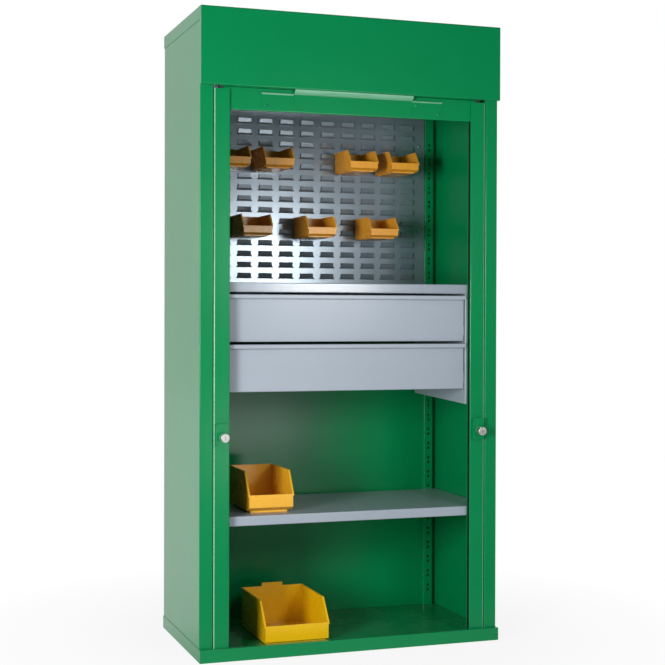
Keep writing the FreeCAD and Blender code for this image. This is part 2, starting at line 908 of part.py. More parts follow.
def latch_rivets():
    """The rivets that hold the latch plates to the rail's front wall."""
    rivets = []
    for x, z in rivet_places():
        face = rail_front - sheet
        shank = rod(rivet_radius, Vector(x, rail_front, z), Vector(x, face, z))
        head = Part.makeSphere(rivet_radius * 2, Vector(x, face + rivet_radius * 2 - rivet_head * 2, z))
        cap = head.common(block(x - 10, x + 10, face - 10, face, z - 10, z + 10))
        rivet = fused([shank, cap])
        rivets += [rivet, mirrored(rivet)]
    return group(rivets)


def rail_end_shoes():
    """The nylon shoes on the rail's ends that run between the liner strips."""
    y0 = mouth_front + liner_thickness + shoe_clearance
    y1 = mouth_back - liner_thickness - shoe_clearance
    shoe = block(rail_half, rail_half + shoe_length, y0, y1, rail_bottom, rail_top)
    return group([shoe, mirrored(shoe)])


def roll_half_turns():
    """How many half turns the roll needs to hold the travel, with the last one over the top."""
    pitch = slat_thickness + roll_clearance
    radius = barrel_radius + touch_gap + pitch / 4 + slat_thickness / 2
    length, count = 0.0, 0
    while length < shutter_travel or count % 2:
        length += math.pi * (radius + count * pitch / 2)
        count += 1
    return count


def barrel_y():
    """The barrel's axis, placed so that the curtain leaves the roll straight down into the guides."""
    pitch = slat_thickness + roll_clearance
    last = barrel_radius + touch_gap + pitch / 4 + (roll_half_turns() - 1) * pitch / 2
    return curtain_plane + slat_thickness / 2 + last + pitch / 4


def spiral(skin):
    """The section of the rolled strip, made smaller by a skin on both faces and both ends."""
    pitch = slat_thickness + roll_clearance
    count = roll_half_turns()
    inner = barrel_radius + touch_gap + pitch / 4
    steps = [skin, slat_thickness - skin]
    near, far = [], []
    for k in range(count):
        start = math.pi if (count - 1 - k) % 2 else 0.0
        shift = -pitch / 4 if start == 0.0 else pitch / 4
        centre = Vector(-curtain_half, barrel_y() + shift, barrel_z)
        trim = skin / (inner + k * pitch / 2)
        first_angle = trim if k == 0 else 0.0
        last_angle = math.pi - (trim if k == count - 1 else 0.0)
        for step, edges in zip(steps, (near, far)):
            radius = inner + k * pitch / 2 + step
            points = [
                centre + Vector(0, radius * math.cos(start + a), radius * math.sin(start + a))
                for a in (first_angle, math.pi / 2, last_angle)
            ]
            edges.append(Part.Arc(*points).toShape())
    first = Part.makeLine(near[0].Vertexes[0].Point, far[0].Vertexes[0].Point)
    last = Part.makeLine(near[-1].Vertexes[-1].Point, far[-1].Vertexes[-1].Point)
    wire = Part.Wire(Part.__sortEdges__(near + [last] + far + [first]))
    return Part.Face(wire)


def curtain_roll():
    """The rolled curtain: one strip of hollow slats wound in half turns round the barrel."""
    section = spiral(0.0).cut(spiral(slat_skin))
    return section.extrude(Vector(2 * curtain_half, 0, 0))


def curtain_drop():
    """The stretch of curtain between the roll and the rail, with a crowned front on each slat."""
    bottom, top = rail_top, barrel_z - touch_gap
    count = max(1, round((top - bottom) / slat_pitch))
    height = (top - bottom) / count
    back_face = curtain_plane + slat_thickness / 2
    groove = curtain_plane - slat_thickness / 2 + slat_crown
    crown = groove - slat_crown
    place = lambda y, z: Vector(-curtain_half, y, z)
    edges = []
    for k in range(count):
        z = bottom + k * height
        edges.append(Part.Arc(place(groove, z), place(crown, z + height / 2), place(groove, z + height)).toShape())
    edges.append(Part.makeLine(place(groove, top), place(back_face, top)))
    edges.append(Part.makeLine(place(back_face, top), place(back_face, bottom)))
    edges.append(Part.makeLine(place(back_face, bottom), place(groove, bottom)))
    body = Part.Face(Part.Wire(edges)).extrude(Vector(2 * curtain_half, 0, 0))
    hollow = [
        block(-curtain_half - 1, curtain_half + 1, groove + slat_skin, back_face - slat_skin,
              bottom + k * height + slat_skin, bottom + (k + 1) * height - slat_skin)
        for k in range(count)
    ]
    return body.cut(hollow)


def on_barrel(x):
    """A point on the barrel's axis."""
    return Vector(x, barrel_y(), barrel_z)


def barrel_half():
    """Half the barrel's length: it stops short of its brackets."""
    return side_inner - bracket_reach - bracket_plate - barrel_end_gap


def barrel_tube():
    """The steel tube that the curtain winds on."""
    half = barrel_half()
    outer = rod(barrel_radius, on_barrel(-half), on_barrel(half))
    return outer.cut(rod(barrel_radius - barrel_wall, on_barrel(-half - 1), on_barrel(half + 1)))


def barrel_plugs():
    """The end plugs that turn on the shaft."""
    half = barrel_half()
    start = half - plug_length
    plug = rod(barrel_radius - barrel_wall, on_barrel(start), on_barrel(half))
    plug = plug.cut(rod(shaft_radius + running_clearance, on_barrel(start - 1), on_barrel(half + 1)))
    return group([plug, mirrored(plug)])


def barrel_shaft():
    """The fixed shaft through the barrel, held in both brackets."""
    half = side_inner - bracket_reach + stud_radius
    outer = rod(shaft_radius, on_barrel(-half), on_barrel(half))
    return outer.cut(rod(shaft_radius - shaft_wall, on_barrel(-half - 1), on_barrel(half + 1)))


def barrel_spring():
    """The torsion spring round the shaft, inside the barrel."""
    radius = shaft_radius + spring_clearance + spring_wire_radius
    length = spring_pitch * spring_turns
    return coil(radius, spring_wire_radius, spring_pitch, spring_turns, on_barrel(-length / 2), Vector(1, 0, 0))


def barrel_bracket():
    """The right barrel bracket: a channel with feet on the side panel and a hole that holds the shaft."""
    plate_x = side_inner - bracket_reach
    y, t, half = barrel_y(), bracket_plate, bracket_half
    foot = bracket_foot
    path = [
        (side_inner, y - half - foot),
        (side_inner, y - half),
        (plate_x, y - half),
        (plate_x, y + half),
        (side_inner, y + half),
        (side_inner, y + half + foot),
    ]
    body = folded(path, "Z", barrel_z - half, barrel_z + half, t, t)
    shaft_hole = rod(shaft_radius, on_barrel(plate_x - t - 1), on_barrel(plate_x + t + 1))
    holes = [
        rod(stud_radius, Vector(side_inner - 2 * t, *place), Vector(side_inner + 1, *place))
        for place in stud_places()
    ]
    return body.cut([shaft_hole] + holes)


def stud_places():
    """The four studs of a bracket, as (y, z)."""
    reach = bracket_half + bracket_plate + bracket_foot / 2
    height = bracket_half / 2
    return [(barrel_y() + a * reach, barrel_z + b * height) for a in (-1, 1) for b in (-1, 1)]


def hexagon(width, x0, x1, y, z):
    """A hexagonal nut body along X."""
    radius = width / math.sqrt(3)
    corners = [(y + radius * math.cos(math.pi / 3 * i), z + radius * math.sin(math.pi / 3 * i)) for i in range(6)]
    return prism(corners, "X", x0, x1)


def bracket_nuts():
    """Nuts on the studs that stand on the side panels."""
    nuts = []
    for y, z in stud_places():
        face = side_inner - bracket_plate
        nut = hexagon(nut_width, face - nut_height, face, y, z)
        stud = rod(stud_radius, Vector(face - nut_height, y, z), Vector(side_inner, y, z))
        tip = rod(stud_radius, Vector(face - nut_height - stud_radius / 2, y, z), Vector(face - nut_height, y, z))
        nut = fused([nut, stud, tip])
        nuts += [nut, mirrored(nut)]
    return group(nuts)


def bin_shell(size, wall, foot_form, lines):
    """An open fronted bin with its rear on y = 0, its front towards -Y and its underside on z = 0."""
    width, depth, height = size
    half = width / 2
    body_half = half - bin_rim_out
    wall_share, foot_share, setback_share = foot_form
    foot = foot_share * height
    low_top, low_bottom = bin_low_wall_top * height, wall_share * height
    slope, setback = bin_front_slope * depth, setback_share * depth
    rim = bin_rim_height
    outer = prism(
        [(0, foot), (0, height), (-depth + slope, height), (-depth, low_top), (-depth, low_bottom),
         (-depth + setback, foot)],
        "X", -body_half, body_half,
    )
    room = prism(
        [(-wall, foot + wall), (-wall, height + 1), (-depth - 1, height + 1), (-depth - 1, low_top),
         (-depth + wall, low_top), (-depth + wall, low_bottom + wall), (-depth + setback, foot + wall)],
        "X", -body_half + wall, body_half - wall,
    )
    band = prism(
        [(0, height), (-depth + slope, height), (-depth, low_top), (-depth, low_top - rim),
         (-depth + slope, height - rim), (0, height - rim)],
        "X", body_half - wall, half,
    )
    base = block(-body_half + setback / 2, body_half - setback / 2, -depth + setback + wall, -wall, 0, foot)
    grooves = [
        block(share * width - bin_line_width / 2, share * width + bin_line_width / 2,
              -depth - 1, -depth + bin_line_depth, low_bottom, low_top - wall)
        for share in lines
    ]
    return fused([outer.cut(room), band, mirrored(band), base]).cut(grooves)


def hanging_bin(column, row):
    """A bin on the louvre at this column and row: its hook goes down behind the hood."""
    body = bin_shell(small_bin_size, small_bin_wall, raised_foot, small_bin_lines)
    height = small_bin_size[2]
    hood_top = louvre_first_top - row * louvre_row_pitch
    rear = panel_front - louvre_stand - small_bin_gap
    web_bottom = hood_top + touch_gap
    half = hook_width / 2
    half_inner = half if half < louvre_width / 2 - 2 * louvre_wall else louvre_width / 2 - 2 * louvre_wall
    leg_back = panel_front - hook_gap
    web = block(-half_inner, half_inner, rear - small_bin_wall, leg_back, web_bottom, web_bottom + hook_wall)
    leg = block(
        -half_inner, half_inner, leg_back - hook_wall, leg_back, web_bottom - hook_drop, web_bottom + hook_wall,
    )
    drop = height - hook_below_rim
    placed = body.translated(Vector(0, rear, web_bottom - drop))
    return fused([placed, web, leg]).translated(Vector(column * louvre_column_pitch, 0, 0))


def standing_bin(size, foot_form, lines, place, level):
    """A larger bin standing on a surface."""
    return bin_shell(size, large_bin_wall, foot_form, lines).translated(Vector(place[0], place[1], level))


def floor_bin_body():
    """The bin on the floor of the base pan, without its tab."""
    return standing_bin(floor_bin_size, flat_foot, floor_bin_lines, floor_bin_place, floor_height)


def hook_tab():
    """The tab at the rear of the floor bin's rim."""
    half = bin_tab_width / 2
    height = floor_bin_size[2]
    tab = block(-half, half, -large_bin_wall, 0, height - bin_rim_height, height + bin_tab_height)
    return tab.translated(Vector(floor_bin_place[0], floor_bin_place[1], floor_height))


def make_nodes():
    """Every node's shape by name."""
    left_right = {
        "side_panel": side_panel(),
        "guide": guide(),
        "front_upright": front_upright(),
        "rear_upright": rear_upright(),
        "drawer_carrier": drawer_carrier(),
        "lock_housing": lock_housing(),
        "lock_button": lock_button(),
        "lock_spring": lock_spring(),
        "barrel_bracket": barrel_bracket(),
    }
    liner = guide_liner()
    plate = latch_plate()
    nodes = {
        "base_pan": base_pan(),
        "top_pan": top_pan(),
        "header_fascia": header_fascia(),
        "roll_cover": roll_cover(),
        "back_panel": back_panel(),
        "guide_liners": group([liner, mirrored(liner)]),
        "worktop_shelf": shelf(worktop_top),
        "lower_shelf": shelf(shelf_top),
        "shelf_clips": shelf_clips(),
        "louvre_panel": louvre_panel(),
        "panel_rails": panel_rails(),
        "panel_screws": panel_screws(),
        "slide_outers": group(slide_member(0, "outer") + slide_member(1, "outer")),
        "bottom_rail": bottom_rail(),
        "rail_grip": rail_grip(),
        "latch_plates": group([plate, mirrored(plate)]),
        "latch_rivets": latch_rivets(),
        "rail_end_shoes": rail_end_shoes(),
        "curtain_drop": curtain_drop(),
        "curtain_roll": curtain_roll(),
        "barrel_tube": barrel_tube(),
        "barrel_plugs": barrel_plugs(),
        "barrel_shaft": barrel_shaft(),
        "barrel_spring": barrel_spring(),
        "bracket_nuts": bracket_nuts(),
        "shelf_bin": standing_bin(shelf_bin_size, raised_foot, shelf_bin_lines, shelf_bin_place, shelf_top),
        "floor_bin": fused([floor_bin_body(), hook_tab()]),
    }
    for name, shape in left_right.items():
        nodes[name + "_right"] = shape
        nodes[name + "_left"] = mirrored(shape)
    for level, name in enumerate(("lower", "upper")):
        nodes["drawer_front_" + name] = drawer_front(level)
        nodes["drawer_box_" + name] = drawer_box(level)
        nodes["slide_middle_" + name] = group(slide_member(level, "middle"))
        nodes["slide_inner_" + name] = group(slide_member(level, "inner"))
    for number, column in enumerate(upper_bin_columns, 1):
        nodes[f"upper_bin_{number}"] = hanging_bin(column, upper_bin_row)
    for number, column in enumerate(lower_bin_columns, 1):
        nodes[f"lower_bin_{number}"] = hanging_bin(column, lower_bin_row)
    return nodes


os.makedirs("parts", exist_ok=True)
for node_name, node_shape in make_nodes().items():
    node_shape.exportStep(f"parts/{node_name}.step")
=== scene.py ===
"""The looks of the roll front tool cabinet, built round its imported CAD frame.

Metres, +Z up. The open front faces -Y.
"""

import json
import math

import bmesh
import bpy
from mathutils import Matrix, Vector


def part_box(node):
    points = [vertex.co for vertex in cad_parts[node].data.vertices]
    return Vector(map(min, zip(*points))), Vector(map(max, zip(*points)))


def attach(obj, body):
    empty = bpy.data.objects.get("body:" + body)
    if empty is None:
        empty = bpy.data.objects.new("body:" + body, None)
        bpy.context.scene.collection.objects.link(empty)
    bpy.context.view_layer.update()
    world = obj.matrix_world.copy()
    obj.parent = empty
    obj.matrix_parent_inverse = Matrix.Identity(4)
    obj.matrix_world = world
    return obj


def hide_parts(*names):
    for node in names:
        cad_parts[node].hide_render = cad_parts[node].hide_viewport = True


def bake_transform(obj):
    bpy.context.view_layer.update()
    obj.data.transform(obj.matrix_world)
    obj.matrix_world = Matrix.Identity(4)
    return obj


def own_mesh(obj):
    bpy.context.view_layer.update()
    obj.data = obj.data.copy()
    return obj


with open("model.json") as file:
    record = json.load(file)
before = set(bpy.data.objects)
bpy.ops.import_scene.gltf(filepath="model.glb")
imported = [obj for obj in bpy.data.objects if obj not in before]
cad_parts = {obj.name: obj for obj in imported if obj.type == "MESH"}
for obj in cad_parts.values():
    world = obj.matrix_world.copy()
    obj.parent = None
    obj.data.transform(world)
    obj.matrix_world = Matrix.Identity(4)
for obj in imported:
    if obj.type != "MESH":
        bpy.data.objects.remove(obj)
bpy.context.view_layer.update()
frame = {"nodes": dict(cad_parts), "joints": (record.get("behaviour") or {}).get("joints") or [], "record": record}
nodes = frame["nodes"]
scene = bpy.context.scene

# Camera: where the photograph was taken from, and how it is turned
camera_place = (-1.5046, -4.3791, 1.0641)
camera_yaw = 19.083
camera_pitch = -0.492
camera_roll = 0.159
camera_lens = 75.35
camera_shift = (0.0017, -0.0096)

# The curtain in its closed place
slat_pitch = 0.038
slat_thickness = 0.010
slat_groove = 0.0025
slat_gap = 0.0016

# Widths by which edges are eased, and the radius in which an edge shows wear and a painted edge highlight
bin_ease = 0.0009
grip_ease = 0.0008
latch_ease = 0.0006
guide_ease = 0.0007
wear_radius = 0.0005

# Bands of painted highlight, pale paint standing for light caught on the latch lips, the grip and the guides'
# outer bends: how deep the band is, how soft its border is and how strongly it shows
latch_highlight_band = (0.003, 0.002, 0.5)
grip_highlight_band = (0.001, 0.001, 0.5)
guide_highlight_band = (0.0025, 0.001, 0.75)

# Colours that several finishes share
green_paint = (0.0, 0.235, 0.072)
# Paler edge colours: partly edge wear and partly a painted highlight where edges catch the light
green_edge = (0.02, 0.42, 0.22)
grey_edge = (0.72, 0.76, 0.80)
# Pale green painted into the highlight bands, standing for light caught on lips and bends
highlight_paint_colour = (0.42, 0.74, 0.56, 1.0)
dust_colour = (0.55, 0.54, 0.50, 1.0)

# Floor and room
floor_half = 14.0
floor_tone = 0.86
floor_rough = 0.9
floor_shade_start = 0.6
floor_shade_end = 1.4
floor_shade_share = 0.88
floor_gloss_front = 0.10
ambient_level = 0.24
backdrop_front = 0.04
backdrop_rear = 0.9


# Shared shader groups


def group(name, sockets_in, sockets_out):
    """A shader node group with its inputs and outputs."""
    tree = bpy.data.node_groups.new(name, "ShaderNodeTree")
    for socket, kind, value in sockets_in:
        made = tree.interface.new_socket(socket, in_out="INPUT", socket_type=kind)
        made.default_value = value
    for socket, kind in sockets_out:
        tree.interface.new_socket(socket, in_out="OUTPUT", socket_type=kind)
    return tree, tree.nodes.new("NodeGroupInput"), tree.nodes.new("NodeGroupOutput")


def node(tree, kind, links=None, **values):
    """A node with its settings, and its inputs linked or set."""
    made = tree.nodes.new(kind)
    for key, value in values.items():
        setattr(made, key, value)
    for key, value in (links or {}).items():
        if isinstance(value, bpy.types.NodeSocket):
            tree.links.new(value, made.inputs[key])
        else:
            made.inputs[key].default_value = value
    return made


def noise(tree, vector, scale, detail=3.0, rough=0.5):
    """Fractal noise on a vector, as a value."""
    made = node(tree, "ShaderNodeTexNoise", {
        "Vector": vector, "Scale": scale, "Detail": detail, "Roughness": rough,
    })
    return made.outputs["Fac"]


def math_node(tree, operation, a, b=0.0, clamp=False):
    """A math node's value."""
    return node(tree, "ShaderNodeMath", {0: a, 1: b}, operation=operation, use_clamp=clamp).outputs[0]


def ramp(tree, value, low, high, to_low=0.0, to_high=1.0):
    """A value mapped from one range to another, held at its ends."""
    made = node(tree, "ShaderNodeMapRange", {
        "Value": value, "From Min": low, "From Max": high, "To Min": to_low, "To Max": to_high,
    })
    return made.outputs["Result"]


def mix(tree, factor, a, b):
    """Two colours mixed by a factor."""
    made = node(tree, "ShaderNodeMix", data_type="RGBA")
    for key, value in ((0, factor), (6, a), (7, b)):
        if isinstance(value, bpy.types.NodeSocket):
            tree.links.new(value, made.inputs[key])
        else:
            made.inputs[key].default_value = value
    return made.outputs[2]


def make_edge_group():
    """Where an edge is: 1 on sharp edges and 0 on flat faces."""
    tree, given, out = group(
        "edge_mask", [("Radius", "NodeSocketFloat", wear_radius)], [("Mask", "NodeSocketFloat")],
    )
    bevel = node(tree, "ShaderNodeBevel", {"Radius": given.outputs["Radius"]}, samples=6)
    geometry = node(tree, "ShaderNodeNewGeometry")
    dot = node(tree, "ShaderNodeVectorMath", {0: bevel.outputs[0], 1: geometry.outputs["Normal"]},
               operation="DOT_PRODUCT")
    tree.links.new(ramp(tree, dot.outputs["Value"], 0.995, 0.86), out.inputs["Mask"])
    return tree


def make_dust_group():
    """Dust on what faces up, in soft patches."""
    tree, given, out = group(
        "dust_mask", [("Amount", "NodeSocketFloat", 0.2)], [("Mask", "NodeSocketFloat")],
    )
    where = node(tree, "ShaderNodeTexCoord").outputs["Object"]
    geometry = node(tree, "ShaderNodeNewGeometry")
    up = node(tree, "ShaderNodeSeparateXYZ", {0: geometry.outputs["Normal"]}).outputs["Z"]
    patches = ramp(tree, noise(tree, where, 9.0, 5.0, 0.65), 0.35, 0.7)
    level = math_node(tree, "MULTIPLY", ramp(tree, up, 0.5, 0.95), patches)
    tree.links.new(math_node(tree, "MULTIPLY", level, given.outputs["Amount"]), out.inputs["Mask"])
    return tree


def make_peel_group():
    """The fine ripple of a sprayed or moulded skin, with a slow change of tone over it."""
    tree, given, out = group(
        "skin_grain",
        [("Scale", "NodeSocketFloat", 300.0)],
        [("Height", "NodeSocketFloat"), ("Tone", "NodeSocketFloat"), ("Smudge", "NodeSocketFloat")],
    )
    where = node(tree, "ShaderNodeTexCoord").outputs["Object"]
    tree.links.new(noise(tree, where, given.outputs["Scale"], 2.0), out.inputs["Height"])
    tree.links.new(noise(tree, where, 2.2, 3.0), out.inputs["Tone"])
    tree.links.new(noise(tree, where, 14.0, 6.0, 0.62), out.inputs["Smudge"])
    return tree


def make_brush_group():
    """Fine lines along X, as drawing or brushing leaves on bare metal."""
    tree, given, out = group(
        "brushed_lines", [("Scale", "NodeSocketFloat", 900.0)], [("Lines", "NodeSocketFloat")],
    )
    where = node(tree, "ShaderNodeTexCoord").outputs["Object"]
    stretch = node(tree, "ShaderNodeVectorMath", {0: where, 1: (0.02, 1.0, 1.0)}, operation="MULTIPLY")
    tree.links.new(noise(tree, stretch.outputs[0], given.outputs["Scale"], 2.0), out.inputs["Lines"])
    return tree


edge_tree = make_edge_group()
dust_tree = make_dust_group()
peel_tree = make_peel_group()
brush_tree = make_brush_group()


def use(tree, shared, **values):
    """An instance of a shared group."""
    made = node(tree, "ShaderNodeGroup", node_tree=shared)
    for key, value in values.items():
        made.inputs[key].default_value = value
    return made.outputs


# Materials


def new_material(name):
    """An empty material, its tree and its shader."""
    made = bpy.data.materials.new(name)
    made.use_nodes = True
    tree = made.node_tree
    tree.nodes.clear()
    shader = tree.nodes.new("ShaderNodeBsdfPrincipled")
    out = tree.nodes.new("ShaderNodeOutputMaterial")
    tree.links.new(shader.outputs[0], out.inputs["Surface"])
    return made, tree, shader


def painted_highlight_mask(tree, axis, low, high, share):
    """Painted highlight: pale paint beyond a distance from the middle along an axis, in streaks, standing for
    light caught there.
    """
    where = node(tree, "ShaderNodeTexCoord").outputs["Object"]
    along = math_node(tree, "ABSOLUTE", node(tree, "ShaderNodeSeparateXYZ", {0: where}).outputs[axis])
    streaks = use(tree, brush_tree, Scale=260.0)["Lines"]
    level = math_node(tree, "MULTIPLY", ramp(tree, streaks, 0.35, 0.65, 0.6, 1.0), share)
    return math_node(tree, "MULTIPLY", ramp(tree, along, low, high), level)


def coated(
    name, colour, edge_colour, rough,
    peel=300.0, ripple=0.02, dust=0.06, tone=0.08, gloss=0.5, sheen=0.0, highlight_band=None,
):
    """A painted or moulded surface: tone drift, smudged gloss, paler edges (edge wear with a painted edge
    highlight), an optional band of painted highlight, fine ripple and dust.
    """
    made, tree, shader = new_material(name)
    grain = use(tree, peel_tree, Scale=peel)
    edges = use(tree, edge_tree, Radius=wear_radius)["Mask"]
    dirt = use(tree, dust_tree, Amount=dust)["Mask"]
    dark = tuple(c * (1 - tone) for c in colour) + (1.0,)
    light = tuple(min(1.0, c * (1 + tone)) for c in colour) + (1.0,)
    base = mix(tree, ramp(tree, grain["Tone"], 0.3, 0.7), dark, light)
    # Paler edges: edge wear, and a painted highlight where edges catch the light
    wear_and_highlight = math_node(tree, "MULTIPLY", edges, ramp(tree, grain["Smudge"], 0.35, 0.65, 0.15, 0.6))
    base = mix(tree, wear_and_highlight, base, edge_colour + (1.0,))
    # Painted highlight: a pale band where light catches a lip or bend
    if highlight_band:
        base = mix(tree, painted_highlight_mask(tree, *highlight_band), base, highlight_paint_colour)
    base = mix(tree, dirt, base, dust_colour)
    tree.links.new(base, shader.inputs["Base Color"])
    matt = ramp(tree, grain["Smudge"], 0.25, 0.8, rough * 0.98, rough * 1.06)
    dull = math_node(tree, "MULTIPLY", dirt, 0.5)
    tree.links.new(math_node(tree, "ADD", matt, dull), shader.inputs["Roughness"])
    bump = node(tree, "ShaderNodeBump", {"Height": grain["Height"], "Strength": ripple, "Distance": 0.001})
    tree.links.new(bump.outputs[0], shader.inputs["Normal"])
    shader.inputs["Specular IOR Level"].default_value = gloss
    shader.inputs["Metallic"].default_value = sheen
    return made


def metal(name, colour, rough, lines=900.0, ripple=0.05):
    """Bare or plated metal with fine drawn lines and smudged gloss."""
    made, tree, shader = new_material(name)
    streaks = use(tree, brush_tree, Scale=lines)["Lines"]
    grain = use(tree, peel_tree, Scale=200.0)
    dark = tuple(c * 0.82 for c in colour) + (1.0,)
    base = mix(tree, ramp(tree, streaks, 0.3, 0.7), dark, colour + (1.0,))
    base = mix(tree, ramp(tree, grain["Smudge"], 0.5, 0.8, 0.0, 0.35), base, dark)
    tree.links.new(base, shader.inputs["Base Color"])
    tree.links.new(ramp(tree, streaks, 0.3, 0.7, rough * 0.8, rough * 1.3), shader.inputs["Roughness"])
    bump = node(tree, "ShaderNodeBump", {"Height": streaks, "Strength": ripple, "Distance": 0.0004})
    tree.links.new(bump.outputs[0], shader.inputs["Normal"])
    shader.inputs["Metallic"].default_value = 1.0
    return made


def band_of_highlight(axis, outer, band):
    """The painted highlight values of a band that starts short of this distance and runs outwards."""
    depth, border, share = band
    return axis, outer - depth - border, outer - depth, share


latch_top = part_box("latch_plates")[1].z
grip_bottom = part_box("rail_grip")[0].z
guide_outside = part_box("guide_right")[1].x
green_look = {"ripple": 0.010, "tone": 0.05, "gloss": 0.36}
grey_look = {"ripple": 0.010, "tone": 0.04}
plastic_look = {"peel": 500.0, "ripple": 0.03}
green = coated("green_powder_coat", green_paint, green_edge, 0.22, **green_look)
# Green with painted highlights: along the latch plates' top lips, over the whole grip, and on the guides' outer
# bends
latch_green_highlit = coated(
    "latch_coat_painted_highlight", green_paint, green_edge, 0.22,
    highlight_band=band_of_highlight("Z", latch_top, latch_highlight_band), **green_look,
)
grip_green_highlit = coated(
    "grip_coat_painted_highlight", green_paint, green_edge, 0.22,
    highlight_band=band_of_highlight("Z", grip_bottom, grip_highlight_band), **green_look,
)
guide_green_highlit = coated(
    "guide_coat_painted_highlight", green_paint, green_edge, 0.22,
    highlight_band=band_of_highlight("X", guide_outside, guide_highlight_band), **green_look,
)
grey = coated("grey_powder_coat", (0.345, 0.40, 0.465), grey_edge, 0.28, gloss=0.6, **grey_look)
worktop_grey = coated("worktop_powder_coat", (0.29, 0.34, 0.40), grey_edge, 0.20, gloss=1.0, **grey_look)
# Painted shade: the grey paint made darker for the shade deep inside the cabinet
panel_grey_shaded = coated(
    "panel_coat_painted_shade", (0.21, 0.265, 0.315), (0.55, 0.60, 0.66), 0.22, gloss=1.0, sheen=0.4, **grey_look,
)
golden = coated("golden_plastic", (0.90, 0.46, 0.022), (1.0, 0.72, 0.18), 0.27, **plastic_look)
amber = coated("amber_plastic", (0.80, 0.345, 0.022), (0.98, 0.64, 0.18), 0.27, **plastic_look)
yellow = coated("yellow_plastic", (0.96, 0.55, 0.004), (1.0, 0.78, 0.16), 0.27, **plastic_look)
nylon = coated("black_nylon", (0.02, 0.02, 0.022), (0.08, 0.08, 0.085), 0.45, peel=700.0, ripple=0.05)
zinc = metal("zinc_plate", (0.70, 0.71, 0.72), 0.30)
chrome = metal("lock_chrome", (0.94, 0.94, 0.93), 0.38, lines=400.0, ripple=0.01)

finishes = {
    "green_paint": green,
    "grey_paint": grey,
    "amber_plastic": amber,
    "yellow_plastic": yellow,
    "black_nylon": nylon,
    "zinc_plated_steel": zinc,
    "lock_chrome": chrome,
}
own_finish = {
    "louvre_panel": panel_grey_shaded,
    "worktop_shelf": worktop_grey,
    "latch_rivets": green,
    "latch_plates": latch_green_highlit,
    "rail_grip": grip_green_highlit,
    "guide_left": guide_green_highlit,
    "guide_right": guide_green_highlit,
    "shelf_bin": golden,
}
slots = {entry["node"]: entry["material_slot"] for entry in frame["record"]["subparts"]}
for name, thing in nodes.items():
    thing.data.materials.clear()
    thing.data.materials.append(own_finish.get(name, finishes[slots[name]]))


# Geometry node helpers


def geometry_tree(name, sockets):
    """A geometry node tree with named number inputs and a material, and one geometry output."""
    tree = bpy.data.node_groups.new(name, "GeometryNodeTree")
    for socket, kind, value in sockets:
        made = tree.interface.new_socket(socket, in_out="INPUT", socket_type=kind)
        if value is not None:
            made.default_value = value
    tree.interface.new_socket("Geometry", in_out="OUTPUT", socket_type="NodeSocketGeometry")
    return tree, tree.nodes.new("NodeGroupInput").outputs, tree.nodes.new("NodeGroupOutput")


def grown_mesh(name, tree, values):
    """The plain mesh that a geometry node tree makes with these values."""
    seed = bpy.data.meshes.new(name + "_seed")
    holder = bpy.data.objects.new(name + "_seed", seed)
    scene.collection.objects.link(holder)
    modifier = holder.modifiers.new(name, "NODES")
    modifier.node_group = tree
    for item in tree.interface.items_tree:
        if item.item_type == "SOCKET" and item.in_out == "INPUT" and item.name in values:
            modifier[item.identifier] = values[item.name]
    shown = holder.evaluated_get(bpy.context.evaluated_depsgraph_get())
    mesh = bpy.data.meshes.new_from_object(shown)
    mesh.name = name
    bpy.data.objects.remove(holder)
    bpy.data.meshes.remove(seed)
    return mesh


def vector_xyz(tree, x, y, z):
    """Three values joined as a vector."""
    return node(tree, "ShaderNodeCombineXYZ", {0: x, 1: y, 2: z}).outputs[0]


# The slatted curtain, bunched in the header at rest, its rest heights worked out from an even spacing when the
# shutter is down


